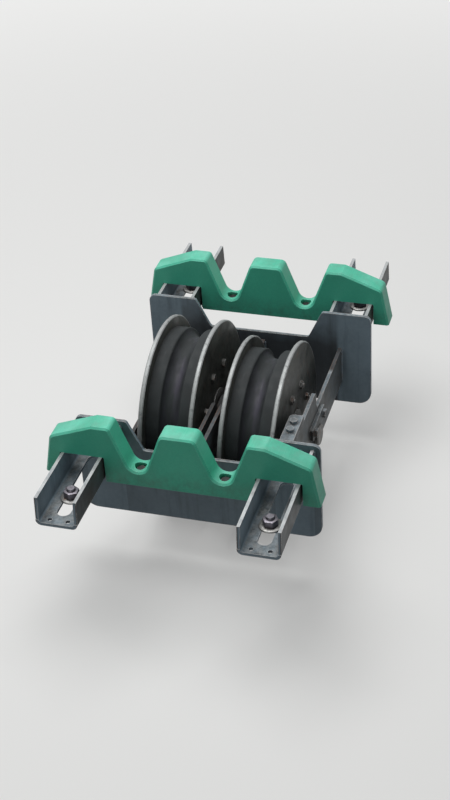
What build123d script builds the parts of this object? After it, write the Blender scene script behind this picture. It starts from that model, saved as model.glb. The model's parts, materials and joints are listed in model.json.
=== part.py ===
"""Twin rope sheave unit of an inclined railway.

Two grooved sheaves side by side in a welded plate frame, which is bolted to
the track between the rails. A cross plate closes the frame at each end, two
folded channel arms reach out from each cross plate, and a machined plastic
rope guard lies across each pair of arms.

Millimetres. X runs uphill along the ropes, Y to the left, Z up and square to
the track. The origin is on the mounting plane under the arms, in the middle
of the four anchor slots.
"""

import math
import os

from build123d import *

# Sheaves
SEAT_R = 140.0               # body's rim under the liner
LINER_T = 42.0               # liner at its shoulders
RIM_RISE = 26.0              # side flanges over the liner's shoulders
SHEAVE_W = 126.0             # over the side flanges
FLANGE_T = 10.0
FLANGE_EDGE = 2.0
GROOVE_R = 22.0              # for a rope of 40
GROOVE_LIP_R = 4.0
RIM_T = 46.0
RIM_EDGE = 3.0
WEB_T = 16.0
HUB_R = 52.0
HUB_PROUD = 2.0              # hub's ends beyond the side flanges
HUB_FLARE = 4.0
FLANGE_BORE_GAP = 2.0        # round the hub
BOLT_INSET = 32.0            # bolt circle inside the rim's seat
BOLT_COUNT = 8
BOLT_D = 10.0
BOLT_AF = 17.0
BOLT_HEAD = 6.5
REST_TURN = 14.0             # bolts at rest, from +X towards +Z

# Axles: each sheave has its own, the left one higher and further uphill
AXLE_R = 25.0
AXLES = {                    # side: (sign of Y, x, z)
    "left": (1, -4.0, -52.0),
    "right": (-1, -18.0, -77.0),
}
RUN = 0.05                   # running clearance of the hub
SNUG = 0.02                  # clearance of fixed pins in their holes
COLLAR_R = 36.0
SIDE_GAP = 6.0               # hub's end to a spacer
AXLE_PROUD = 12.0            # axle beyond the outer cheek
AXLE_EDGE = 2.0
AXLE_IN = 4.0                # axle beyond the inner cheek, towards the middle

# Longitudinal plates, called cheeks
CHEEK_T = 8.0
CHEEK_OUT_GAP = {            # side flange to the outer cheek
    "left": 20.0,
    "right": 40.0,
}
CHEEK_IN_GAP = 16.0          # side flange to the inner cheek
CHEEK_MID_GAP = 12.0         # between the two inner cheeks
CHEEK_HIGH = 32.0            # top edge, downhill part
CHEEK_LOW = -18.0            # top edge, uphill part, and all of the left outer cheek's
CHEEK_BOTTOM = -114.0
STEP_OUT_X = -4.0            # step between the two, right outer cheek
STEP_IN_X = -85.0            # and inner cheeks
CHEEK_R = 14.0

# Frame
PLATE = 8.0                  # cross plate thickness
END_GAP = 46.0               # sheave radius to a cross plate, from the middle
FRAME_SIDE = 71.0            # right outer cheek to a cross plate's edge
FRAME_BOTTOM = -173.0        # lower edge of the cross plates
CROSS_LOW = 3.0              # low middle of a cross plate's top edge
CROSS_HIGH = 76.0            # top of its shoulders
CROSS_FOOT_R = 32.0          # lower corners
CROSS_SHOULDER_R = 16.0      # upper corners
CROSS_DIP_R = 8.0
CROSS_DIP_IN = 47.5          # low middle's end inside an arm's flange
CROSS_SLOPE = 35.0           # width of the slope up to a shoulder

# Arms, folded channels open upwards
ARM_T = 7.0
ARM_W = 92.0
ARM_H = 65.0
ARM_INSET = 13.5             # from a cross plate's edge
ARM_L = 283.0
ARM_TAB = 8.0                # web that runs on past the flanges' tops
ARM_TAB_LIP = 2.0
ARM_BEND = 6.0               # inner bend radius
SLOT_W = 30.0
SLOT_L = 210.0
SLOT_OUT = 148.0             # middle of a slot from the cross plate
TAB_HOLE = 10.0
TAB_HOLE_GAP = 40.0
TAB_HOLE_EDGE = 14.0

# Rope guards
GUARD_T = 50.0
GUARD_OUT = 93.0             # middle of a guard from the cross plate
GUARD_GAP = 4.0              # beside each channel
GUARD_FOOT = 2.0             # underside between the arms
LEG_W = 37.5                 # outer leg at its foot
LEG_FOOT = 10.0              # underside of the outer legs
LEG_LEAN = 18.0
CUT_R = 3.0                  # upper corners over an arm
LOBE_TOP = 138.0             # centre lobe
LOBE_R = 14.0
LOBE_PEAK = 141.0            # outer lobes beside the notches
PEAK_R = 10.0
PEAK_OUT = 40.0              # flat beside a notch
LOBE_OUTER = 104.0           # outer lobes at their outer corner
NOTCH_BOTTOM = 36.0
NOTCH_TOP_HALF = 55.0
NOTCH_R = 24.0
GUARD_EDGE = 4.0             # broken edges of the block
GUARD_SCREW = 12.0
GUARD_SCREW_PLAY = 0.5
GUARD_SCREW_AF = 18.0
GUARD_SCREW_HEAD = 7.0
GUARD_SINK = 26.0
GUARD_SINK_DEPTH = 12.0

# Bars between the arms, let into the guards from below
BAR_W = 38.0
BAR_T = 10.0
BAR_EDGE = 1.5
BAR_PLAY = 1.0

# Axle keepers
KEEPER_T = 8.0
KEEPER_L = 110.0
KEEPER_H = 30.0
KEEPER_R = 5.0
KEEPER_BITE = 7.0            # depth of the axle's flat
KEEPER_PLAY = 0.1
KEEPER_BOLT_AF = 18.0
KEEPER_BOLT_H = 8.0
KEEPER_BOLT_GAP = 78.0
KEEPER_UP = {                # over the axle 1, under it -1
    "left": -1,
    "right": 1,
}

# Lug on the right outer cheek, against the lower cross plate
LUG_L = 134.0
LUG_W = 30.0
LUG_T = 14.0
LUG_R = 10.0
LUG_BOLTS = (73.0, 104.0)    # from the cross plate
LUG_BOLT_AF = 16.0
LUG_BOLT_H = 8.0

OVER = 1.0                   # a cutter's run past the face it opens
NEAR = 0.1                   # how close an edge or corner lies to where it is picked

# Worked out from the values above
LINER_R = SEAT_R + LINER_T
SHEAVE_R = LINER_R + RIM_RISE
BOLT_PCD = 2 * (SEAT_R - BOLT_INSET)
WEB_R = SEAT_R - RIM_T
HUB_W = SHEAVE_W + 2 * HUB_PROUD
FLANGE_BORE = HUB_R + FLANGE_BORE_GAP
CHEEK_IN = CHEEK_MID_GAP / 2
SHEAVE_Y = CHEEK_IN + CHEEK_T + CHEEK_IN_GAP + SHEAVE_W / 2
CHEEK_OUT = {name: SHEAVE_Y + SHEAVE_W / 2 + gap + CHEEK_T for name, gap in CHEEK_OUT_GAP.items()}
CHEEK_TOP = {"left": CHEEK_LOW, "right": CHEEK_HIGH}
FRAME_W = 2 * (CHEEK_OUT["right"] + FRAME_SIDE)
HALF_IN = SHEAVE_R + END_GAP
HALF_OUT = HALF_IN + PLATE
ARM_Y = FRAME_W / 2 - ARM_INSET - ARM_W / 2
CROSS_LOW_HALF = ARM_Y - ARM_W / 2 - CROSS_DIP_IN
ARM_TIP = HALF_OUT + ARM_L
SLOT_X = HALF_OUT + SLOT_OUT
GUARD_X = HALF_OUT + GUARD_OUT
CUT_IN = ARM_Y - ARM_W / 2 - GUARD_GAP
CUT_OUT = ARM_Y + ARM_W / 2 + GUARD_GAP
GUARD_HALF = CUT_OUT + LEG_W
GUARD_SEAT = GUARD_FOOT + BAR_T
SCREW_SEAT = NOTCH_BOTTOM - GUARD_SINK_DEPTH
NOTCH_LEAN = (
    math.acos(NOTCH_R / math.hypot(NOTCH_TOP_HALF, LOBE_TOP - NOTCH_BOTTOM - NOTCH_R))
    - math.atan2(LOBE_TOP - NOTCH_BOTTOM - NOTCH_R, NOTCH_TOP_HALF)
)


def hexagon(across_flats, height):
    """A hexagon head along +Z from the origin."""
    return extrude(RegularPolygon(across_flats / 2, 6, major_radius=False), height)


def along_y(shape, x, y, z, turn=1):
    """Turns a shape's +Z to the left (turn 1) or right (turn -1) and moves it."""
    return Pos(x, y, z) * Rot(-90 * turn, 0, 0) * shape


def cross_plate(x_face):
    """Plate square to the ropes, with a low middle that the ropes clear."""
    w = FRAME_W / 2
    lo = CROSS_LOW_HALF
    hi = lo + CROSS_SLOPE
    pts = [
        (-w, FRAME_BOTTOM), (w, FRAME_BOTTOM), (w, CROSS_HIGH), (hi, CROSS_HIGH),
        (lo, CROSS_LOW), (-lo, CROSS_LOW), (-hi, CROSS_HIGH), (-w, CROSS_HIGH),
    ]
    face = make_face(Polyline(*pts, close=True))
    face = fillet([v for v in face.vertices() if v.Y < FRAME_BOTTOM + NEAR], CROSS_FOOT_R)
    outer = [v for v in face.vertices() if v.Y > CROSS_HIGH - NEAR and abs(v.X) > w - NEAR]
    face = fillet(outer, CROSS_SHOULDER_R)
    inner = [v for v in face.vertices() if min(abs(abs(v.X) - lo), abs(abs(v.X) - hi)) < NEAR]
    face = fillet(inner, CROSS_DIP_R)
    return Pos(x_face, 0, 0) * extrude(Plane.YZ * face, PLATE)


def arm(end, side):
    """Folded channel from a cross plate out past the anchor slot."""
    h = ARM_W / 2
    outline = Polyline((-h, ARM_H), (-h, 0), (h, 0), (h, ARM_H))
    inner = Polyline((-h + ARM_T, ARM_H), (-h + ARM_T, ARM_T), (h - ARM_T, ARM_T), (h - ARM_T, ARM_H))
    tops = Line((-h, ARM_H), (-h + ARM_T, ARM_H)) + Line((h - ARM_T, ARM_H), (h, ARM_H))
    section = make_face(outline + inner + tops)
    section = fillet([v for v in section.vertices() if v.Y < NEAR], ARM_BEND + ARM_T)
    bend = [v for v in section.vertices() if abs(v.Y - ARM_T) < NEAR and abs(abs(v.X) - h + ARM_T) < NEAR]
    section = fillet(bend, ARM_BEND)
    body = Pos(HALF_OUT, 0, 0) * extrude(Plane.YZ * section, ARM_L)
    # flanges cut back to a slope above the tab
    low = ARM_T + ARM_BEND
    slope = Polyline(
        (ARM_TIP - ARM_TAB, ARM_H + OVER), (ARM_TIP + OVER, ARM_H + OVER),
        (ARM_TIP + OVER, low), (ARM_TIP - ARM_TAB_LIP, low), close=True)
    body -= Pos(0, ARM_W, 0) * Rot(90, 0, 0) * extrude(make_face(slope), 2 * ARM_W)
    body -= Pos(SLOT_X, 0, -OVER) * extrude(SlotOverall(SLOT_L, SLOT_W), ARM_T + 2 * OVER)
    for y in (-TAB_HOLE_GAP / 2, TAB_HOLE_GAP / 2):
        hole = extrude(Circle(TAB_HOLE / 2), ARM_T + 2 * OVER)
        body -= Pos(ARM_TIP - TAB_HOLE_EDGE, y, -OVER) * hole
    if end < 0:
        body = Rot(0, 0, 180) * body
    return Pos(0, side * ARM_Y, 0) * body


def rope_notch():
    """V notch with a round floor, to be cut from the top of a guard."""
    mid_z = NOTCH_BOTTOM + NOTCH_R
    low_y = NOTCH_R * math.cos(NOTCH_LEAN)
    low_z = mid_z - NOTCH_R * math.sin(NOTCH_LEAN)
    high_z = LOBE_PEAK + NOTCH_R
    high_y = NOTCH_TOP_HALF + (high_z - LOBE_TOP) * math.tan(NOTCH_LEAN)
    walls = Polyline((-high_y, high_z), (-low_y, low_z), (low_y, low_z), (high_y, high_z), close=True)
    return make_face(walls) + Pos(0, mid_z) * Circle(NOTCH_R)


def guard_profile():
    """Outline of a guard across the ropes: three lobes, two notches, a foot and two legs."""
    half = [
        (SHEAVE_Y, LOBE_TOP),
        (SHEAVE_Y, LOBE_PEAK),
        (SHEAVE_Y + NOTCH_TOP_HALF + PEAK_OUT, LOBE_PEAK),
        (GUARD_HALF - LEG_LEAN, LOBE_OUTER),
        (GUARD_HALF, LEG_FOOT),
        (CUT_OUT, LEG_FOOT),
        (CUT_OUT, ARM_H),
        (CUT_IN, ARM_H),
        (CUT_IN, GUARD_FOOT),
    ]
    pts = half + [(-y, z) for y, z in reversed(half)]
    face = make_face(Polyline(*pts, close=True))
    for s in (-1, 1):
        face -= Pos(s * SHEAVE_Y, 0) * rope_notch()
    return face


def guard(x_mid):
    """Plastic block across a pair of arms, seated on their flanges and on the bar."""
    block = Pos(x_mid - GUARD_T / 2, 0, 0) * extrude(Plane.YZ * guard_profile(), GUARD_T)
    rounds = ((LOBE_PEAK, PEAK_R), (LOBE_TOP, LOBE_R), (LOBE_OUTER, LOBE_R), (ARM_H, CUT_R))
    for z, radius in rounds:
        across = [e for e in block.edges().filter_by(Axis.X) if abs(e.center().Z - z) < NEAR]
        block = fillet(across, radius)
    upper = []
    for e in block.edges():
        c = e.center()
        at_face = abs(abs(c.X - x_mid) - GUARD_T / 2) < NEAR
        over_arm = c.Z < ARM_H + NEAR and CUT_IN - NEAR < abs(c.Y) < CUT_OUT + NEAR
        if at_face and e.bounding_box().min.Z > NOTCH_BOTTOM - NEAR and not over_arm:
            upper.append(e)
    block = chamfer(upper, GUARD_EDGE)
    seat_l = 2 * (CUT_IN + OVER)
    seat = Box(BAR_W + 2 * BAR_PLAY, seat_l, BAR_T + OVER, align=(Align.CENTER, Align.CENTER, Align.MAX))
    block -= Pos(x_mid, 0, GUARD_SEAT) * seat
    hole = extrude(Circle(GUARD_SCREW / 2 + GUARD_SCREW_PLAY), LOBE_TOP)
    sink = extrude(Circle(GUARD_SINK / 2), LOBE_TOP)
    for s in (-1, 1):
        block -= Pos(x_mid, s * SHEAVE_Y, 0) * hole
        block -= Pos(x_mid, s * SHEAVE_Y, SCREW_SEAT) * sink
    return block


def guard_bar(x_mid):
    """Flat bar between the arms that takes the guard's screws."""
    bar = Box(BAR_W, 2 * ARM_Y - ARM_W, BAR_T, align=(Align.CENTER, Align.CENTER, Align.MIN))
    bar = chamfer(bar.edges().filter_by(Axis.Y), BAR_EDGE)
    return Pos(x_mid, 0, GUARD_FOOT) * bar


def guard_screws(x_mid):
    """Screws in the counterbores; their threads in the bar aren't modelled."""
    screws = []
    for s in (-1, 1):
        shank = extrude(Circle(GUARD_SCREW / 2), SCREW_SEAT - GUARD_SEAT)
        screw = Pos(0, 0, GUARD_SEAT) * shank
        screw += Pos(0, 0, SCREW_SEAT) * hexagon(GUARD_SCREW_AF, GUARD_SCREW_HEAD)
        screws.append(Pos(x_mid, s * SHEAVE_Y, 0) * screw)
    return Compound(screws)


def cheek(name, y_from, top, step_x):
    """Longitudinal plate beside a sheave, with the axle's hole."""
    side, ax, az = AXLES[name]
    pts = [(-HALF_IN, CHEEK_BOTTOM), (HALF_IN, CHEEK_BOTTOM), (HALF_IN, CHEEK_LOW)]
    if top > CHEEK_LOW:
        pts += [(step_x, CHEEK_LOW), (step_x, top)]
    pts.append((-HALF_IN, top))
    face = make_face(Polyline(*pts, close=True))
    step = [v for v in face.vertices() if abs(v.X - step_x) < NEAR]
    if step:
        face = fillet(step, CHEEK_R)
    face -= Pos(ax, az) * Circle(AXLE_R + SNUG)
    # the sketch's Y becomes Z, and the thickness runs to the left of y_from
    return Pos(0, y_from + CHEEK_T, 0) * Rot(90, 0, 0) * extrude(face, CHEEK_T)


def axle(name):
    side, ax, az = AXLES[name]
    out = CHEEK_OUT[name] + AXLE_PROUD
    inner = CHEEK_IN - AXLE_IN
    shaft = Cylinder(AXLE_R, out - inner, align=(Align.CENTER, Align.CENTER, Align.MIN))
    shaft = chamfer(shaft.edges().filter_by(GeomType.CIRCLE), AXLE_EDGE)
    shaft = Pos(0, 0, inner) * shaft
    # flat in the axle's end, for the keeper
    flat = Box(3 * AXLE_R, AXLE_R, KEEPER_T + 2 * KEEPER_PLAY, align=(Align.CENTER, Align.MIN, Align.MIN))
    shaft -= Pos(0, AXLE_R - KEEPER_BITE, CHEEK_OUT[name]) * flat
    if side == KEEPER_UP[name]:
        shaft = Rot(0, 0, 180) * shaft
    return Pos(ax, 0, az) * Rot(-90 * side, 0, 0) * shaft


def spacers(name):
    """Tubes on the axle between the cheeks and the hub."""
    side, ax, az = AXLES[name]
    hub_in = SHEAVE_Y - HUB_W / 2
    hub_out = SHEAVE_Y + HUB_W / 2
    spans = [(CHEEK_IN + CHEEK_T, hub_in - SIDE_GAP), (hub_out + SIDE_GAP, CHEEK_OUT[name] - CHEEK_T)]
    rings = []
    for y0, y1 in spans:
        ring = extrude(Circle(COLLAR_R) - Circle(AXLE_R + SNUG), y1 - y0)
        y = y0 if side > 0 else -y1
        rings.append(Pos(ax, y, az) * Rot(-90, 0, 0) * ring)
    return Compound(rings)


def keeper(name):
    """Plate bolted outside the cheek that sits in the axle's flat."""
    side, ax, az = AXLES[name]
    mid_z = az + KEEPER_UP[name] * (AXLE_R - KEEPER_BITE + KEEPER_PLAY + KEEPER_H / 2)
    y = side * (CHEEK_OUT[name] + KEEPER_T / 2)
    body = Pos(ax, y, mid_z) * Box(KEEPER_L, KEEPER_T, KEEPER_H)
    body = fillet(body.edges().filter_by(Axis.Y), KEEPER_R)
    bolt = hexagon(KEEPER_BOLT_AF, KEEPER_BOLT_H)
    for s in (-1, 1):
        body += along_y(bolt, ax + s * KEEPER_BOLT_GAP / 2, side * (CHEEK_OUT[name] + KEEPER_T), mid_z, side)
    return body


def lug(name):
    """Block on an outer cheek's high edge with two upright bolts."""
    side = AXLES[name][0]
    x = -HALF_IN + LUG_L / 2
    y = side * (CHEEK_OUT[name] - LUG_W / 2)
    block = Pos(x, y, CHEEK_HIGH + LUG_T / 2) * Box(LUG_L, LUG_W, LUG_T)
    inner = [e for e in block.edges().filter_by(Axis.Z) if e.center().X > x and abs(e.center().Y) < abs(y)]
    block = fillet(inner, LUG_R)
    for out in LUG_BOLTS:
        block += Pos(-HALF_IN + out, y, CHEEK_HIGH + LUG_T) * hexagon(LUG_BOLT_AF, LUG_BOLT_H)
    return block


def hub():
    """Hub and web disc, turned about Z."""
    hw = SHEAVE_W / 2 - FLANGE_T
    pts = [
        (AXLE_R + RUN, -HUB_W / 2), (HUB_R, -HUB_W / 2), (HUB_R, -hw), (HUB_R + HUB_FLARE, -WEB_T / 2),
        (WEB_R, -WEB_T / 2),
    ]
    pts = pts + [(r, -z) for r, z in reversed(pts)]
    return revolve(Plane.XZ * make_face(Polyline(*pts, close=True)), Axis.Z)


def rim():
    """Ring round the web, as wide as the liner, with the bolt circle."""
    hw = SHEAVE_W / 2 - FLANGE_T
    ring = Pos(0, 0, -hw) * extrude(Circle(SEAT_R) - Circle(WEB_R + SNUG), 2 * hw)
    bore = [e for e in ring.edges().filter_by(GeomType.CIRCLE) if abs(e.radius - WEB_R) < NEAR]
    ring = chamfer(bore, RIM_EDGE)
    return ring - Pos(0, 0, -hw - OVER) * bolt_holes(2 * (hw + OVER))


def bolt_holes(length):
    spots = PolarLocations(BOLT_PCD / 2, BOLT_COUNT)
    return extrude(Sketch() + [loc * Circle(BOLT_D / 2 + SNUG) for loc in spots], length)


def flange():
    """Side ring that keeps the rope in, from z 0 to its thickness."""
    ring = extrude(Circle(SHEAVE_R) - Circle(FLANGE_BORE), FLANGE_T)
    outer = [e for e in ring.edges().filter_by(GeomType.CIRCLE) if abs(e.radius - SHEAVE_R) < NEAR]
    ring = chamfer(outer, FLANGE_EDGE)
    return ring - Pos(0, 0, -OVER) * bolt_holes(FLANGE_T + 2 * OVER)


def sheave_bolts():
    """Through bolts that clamp the side rings to the body, with their nuts."""
    shank = Cylinder(BOLT_D / 2, SHEAVE_W)
    bolt = shank
    for s in (0, 180):
        head = Pos(0, 0, SHEAVE_W / 2) * hexagon(BOLT_AF, BOLT_HEAD)
        bolt += Rot(s, 0, 0) * head
    spots = PolarLocations(BOLT_PCD / 2, BOLT_COUNT)
    return Compound([loc * bolt for loc in spots])


def liner():
    """Ring of rubber between the flanges, with the rope's groove."""
    hw = SHEAVE_W / 2 - FLANGE_T
    face = make_face(Polyline((SEAT_R, -hw), (LINER_R, -hw), (LINER_R, hw), (SEAT_R, hw), close=True))
    face -= Pos(LINER_R, 0) * Circle(GROOVE_R)
    lips = [v for v in face.vertices() if abs(v.X - LINER_R) < NEAR and abs(v.Y) < GROOVE_R + NEAR]
    face = fillet(lips, GROOVE_LIP_R)
    return revolve(Plane.XZ * face, Axis.Z)


def build():
    parts = {}
    parts["cross_plate_lower"] = cross_plate(-HALF_OUT)
    parts["cross_plate_upper"] = cross_plate(HALF_IN)
    for end_name, end in (("lower", -1), ("upper", 1)):
        for side_name, side in (("left", 1), ("right", -1)):
            parts[f"arm_{end_name}_{side_name}"] = arm(end, side)
        parts[f"guard_{end_name}"] = guard(end * GUARD_X)
        parts[f"guard_bar_{end_name}"] = guard_bar(end * GUARD_X)
        parts[f"guard_screws_{end_name}"] = guard_screws(end * GUARD_X)
    for name, (side, ax, az) in AXLES.items():
        y_out = CHEEK_OUT[name] - CHEEK_T if side > 0 else -CHEEK_OUT[name]
        y_in = CHEEK_IN if side > 0 else -CHEEK_IN - CHEEK_T
        parts[f"cheek_outer_{name}"] = cheek(name, y_out, CHEEK_TOP[name], STEP_OUT_X)
        parts[f"cheek_inner_{name}"] = cheek(name, y_in, CHEEK_HIGH, STEP_IN_X)
        parts[f"axle_{name}"] = axle(name)
        parts[f"spacers_{name}"] = spacers(name)
        parts[f"keeper_{name}"] = keeper(name)
        at = Pos(ax, side * SHEAVE_Y, az) * Rot(-90, 0, 0) * Rot(0, 0, -REST_TURN)
        hw = SHEAVE_W / 2
        parts[f"hub_{name}"] = at * hub()
        parts[f"rim_{name}"] = at * rim()
        parts[f"liner_{name}"] = at * liner()
        ring = flange()
        outward = Pos(0, 0, hw - FLANGE_T) * ring
        inward = Rot(180, 0, 0) * outward
        out_ring, in_ring = (outward, inward) if side > 0 else (inward, outward)
        parts[f"sheave_bolts_{name}"] = at * sheave_bolts()
        parts[f"flange_outer_{name}"] = at * out_ring
        parts[f"flange_inner_{name}"] = at * in_ring
    parts["lug_right"] = lug("right")
    return parts


def main():
    os.makedirs("parts", exist_ok=True)
    for name, shape in build().items():
        export_step(shape, f"parts/{name}.step")


if __name__ == "__main__":
    main()
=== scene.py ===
"""Finishes the twin rope sheave unit.

The frame gets worn blue-grey paint and its welds, the guards machined green
plastic, the sheaves turned steel, cast alloy and rope-polished rubber. Anchor
bolts stand in the slots. A pale floor, soft lamps and a camera make the stage.
Metres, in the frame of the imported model.
"""

import json
import math

import bmesh
import bpy
from bpy.props import FloatProperty, FloatVectorProperty, IntProperty, PointerProperty
from bpy.types import Operator, Panel, PropertyGroup
from mathutils import Matrix, Vector


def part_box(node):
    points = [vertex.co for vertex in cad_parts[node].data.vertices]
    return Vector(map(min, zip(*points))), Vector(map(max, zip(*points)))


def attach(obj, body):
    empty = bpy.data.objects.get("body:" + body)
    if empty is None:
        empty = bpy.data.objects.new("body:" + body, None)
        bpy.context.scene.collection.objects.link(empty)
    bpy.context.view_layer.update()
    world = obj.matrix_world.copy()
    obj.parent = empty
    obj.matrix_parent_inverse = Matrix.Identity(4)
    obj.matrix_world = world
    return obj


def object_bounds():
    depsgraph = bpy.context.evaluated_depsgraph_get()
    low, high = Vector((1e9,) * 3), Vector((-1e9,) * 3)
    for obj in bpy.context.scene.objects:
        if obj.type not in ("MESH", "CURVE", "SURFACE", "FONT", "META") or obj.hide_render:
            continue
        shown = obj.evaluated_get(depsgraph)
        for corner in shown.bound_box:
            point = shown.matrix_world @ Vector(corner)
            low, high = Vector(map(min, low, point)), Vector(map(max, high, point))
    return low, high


bl_info = {
    "name": "Twin Rope Sheave Unit",
    "version": (1, 0, 0),
    "blender": (4, 5, 0),
    "location": "View3D > Sidebar > Sheave Unit",
    "description": "Finishes, welds, fasteners and stage of a twin rope sheave unit",
    "category": "Object",
}

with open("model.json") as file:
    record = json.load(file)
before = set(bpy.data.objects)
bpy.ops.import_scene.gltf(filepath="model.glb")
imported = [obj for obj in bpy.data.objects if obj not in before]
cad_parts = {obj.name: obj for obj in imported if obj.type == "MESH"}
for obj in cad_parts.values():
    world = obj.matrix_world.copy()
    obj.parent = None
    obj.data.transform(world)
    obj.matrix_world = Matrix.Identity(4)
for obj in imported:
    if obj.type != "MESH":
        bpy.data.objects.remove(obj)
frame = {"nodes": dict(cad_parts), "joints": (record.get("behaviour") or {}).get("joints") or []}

NODES = frame["nodes"]
CAD_LOW, CAD_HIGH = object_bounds()
SIDES = {"left": 1, "right": -1}
ENDS = {"lower": -1, "upper": 1}
JOINTS = {joint["child"]: joint for joint in frame["joints"]}
CENTRES = {side: Vector(JOINTS[f"{side}_sheave"]["pos_m"]) for side in SIDES}


def top_of(node, test):
    """Highest corner of a CAD node among those that pass a test."""
    piece = NODES[node]
    places = [piece.matrix_world @ corner.co for corner in piece.data.vertices]
    return max(place.z for place in places if test(place))


# Faces and radii of the model that finishes and pieces line up with: the cross plates' inner and
# outer faces, the outer cheeks' inner faces, the arms' middle, half width and top, the side
# flanges' and liners' radii, and the side flanges' outer face from the sheave's middle
PLATE_IN, PLATE_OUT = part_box("cross_plate_upper")[0].x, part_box("cross_plate_upper")[1].x
CHEEK_IN = -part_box("cheek_outer_right")[1].y
ARM_Y = (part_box("arm_upper_left")[0].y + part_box("arm_upper_left")[1].y) / 2
ARM_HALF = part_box("arm_upper_left")[1].y - ARM_Y
ARM_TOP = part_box("arm_upper_left")[1].z
SHEAVE_R = (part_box("flange_outer_left")[1].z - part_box("flange_outer_left")[0].z) / 2
LINER_R = (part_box("liner_left")[1].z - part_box("liner_left")[0].z) / 2
FLANGE_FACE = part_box("flange_outer_left")[1].y - CENTRES["left"].y

# Where the frame and the guards are darkened, and where rope grease smears the guards
CHEEK_DARK = (0.044, 0.038)        # height below which the cheeks' inner faces are darkened
PLATE_DARK = (0.060, -0.010)       # heights over which the cross plates darken inside the frame
CHEEK_END_DARK = (0.150, 0.162)          # where the right outer cheek's top edge turns dark
GUARD_DARK_LOW = (0.055, 0.012)        # heights over which the guards darken towards the bottom
ROPE_HEIGHT = 0.060                  # of the ropes in the guards' notches
ROPE_SMEAR = (0.052, 0.026)          # distances from a rope over which its grease thickens

# Steel of fasteners: paleness as a share of new zinc's, and how far rust has spread
SCREW_PALE, SCREW_RUST = 0.09, 0.00
BOLT_PALE, BOLT_RUST = 0.50, 0.10
AXLE_PALE, AXLE_RUST = 0.35, 0.04
WASHER_PALE, ANCHOR_RUST = 0.72, 0.03

# Radius of a weld bead as shares of its full one, and the height and pace of its slow waves
BEAD_LOW, BEAD_RIPPLE, BEAD_END = 0.86, 0.12, 0.45
BEAD_WAVES = ((0.05, 0.83), (0.04, 2.31))

# Lamps and camera
KEY_AT = (0.30, 0.50, 2.80)
FILL_AT = (-2.9, 0.6, 1.5)
CAMERA_AT = (-2.790, -0.909, 2.0285)
CAMERA_UP = (0.3754, 0.0566, 0.9251)
CAMERA_AIM = (0.0, 0.014, -0.026)
SKY_TINT = (0.97, 0.985, 1.0, 1.0)
FLOOR_TINT = (1.0, 1.0, 0.99, 1.0)


# Sizes and colours


def length(name, description, default):
    return FloatProperty(
        name=name, description=description, default=default, min=0.0, unit="LENGTH", subtype="DISTANCE"
    )


def colour(name, description, default):
    return FloatVectorProperty(
        name=name, description=description, default=default, min=0.0, max=1.0, size=3, subtype="COLOR"
    )


def strength(name, description, default):
    return FloatProperty(name=name, description=description, default=default, min=0.0)


def power(name, description, default):
    return FloatProperty(name=name, description=description, default=default, min=0.0, unit="POWER")


class SheaveUnitSizes(PropertyGroup):
    """Sizes of the pieces added to the model."""

    weld_radius: length("Weld radius", "Radius of a weld bead", 0.0036)
    weld_pitch: length("Weld pitch", "Distance between two ripples of a weld bead", 0.0028)
    arm_fold: length("Arm fold", "Outer radius of the folds of an arm", 0.013)
    stud_radius: length("Stud radius", "Radius of an anchor stud", 0.010)
    stud_proud: length("Stud proud", "Height of an anchor stud over its nut", 0.006)
    stud_below: length("Stud below", "Length of an anchor stud below the arm", 0.003)
    thread_pitch: length("Thread pitch", "Distance between two threads of a stud", 0.0025)
    thread_depth: length("Thread depth", "Depth of a thread of a stud", 0.0014)
    nut_flats: length("Nut width", "Width of an anchor nut across its flats", 0.030)
    nut_height: length("Nut height", "Height of an anchor nut", 0.0160)
    nut_edge: length("Nut edge", "Rounding of the corners of an anchor nut", 0.0012)
    washer_radius: length("Washer radius", "Outer radius of an anchor washer", 0.0245)
    washer_height: length("Washer height", "Thickness of an anchor washer", 0.004)
    washer_play: length("Washer play", "Gap between an anchor stud and its washer", 0.001)
    anchor_lower: length("Lower anchors", "Distance of the lower anchors from the unit's middle", 0.453)
    anchor_upper: length("Upper anchors", "Distance of the upper anchors from the unit's middle", 0.410)
    web_height: length("Web thickness", "Thickness of the arm under an anchor", 0.007)
    tip_radius: length("Bolt tip radius", "Radius of the threaded tip of a sheave bolt", 0.0048)
    tip_height: length("Bolt tip height", "Height of the threaded tip over its nut", 0.0030)
    tip_pitch: length("Tip thread pitch", "Distance between two threads of a bolt tip", 0.0015)
    tip_depth: length("Tip thread depth", "Depth of a thread of a bolt tip", 0.0006)
    bolt_circle: length("Bolt circle", "Radius of the circle of the sheave bolts", 0.108)
    bolt_nut: length("Sheave nut height", "Height of a nut on a side flange", 0.0065)
    ring_radius: length("Bolt washer radius", "Outer radius of the washer under a sheave bolt", 0.0108)
    ring_bore: length("Bolt washer bore", "Inner radius of the washer under a sheave bolt", 0.0056)
    ring_height: length("Bolt washer height", "Thickness of the washer under a sheave bolt", 0.0016)
    bolt_count: IntProperty(
        name="Sheave bolts", description="Number of bolts in one sheave", default=8, min=3
    )
    bolt_turn: FloatProperty(
        name="Bolt turn",
        description="First sheave bolt's angle from +X towards +Z",
        default=math.radians(14.0),
        unit="ROTATION",
        subtype="ANGLE",
    )


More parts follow.
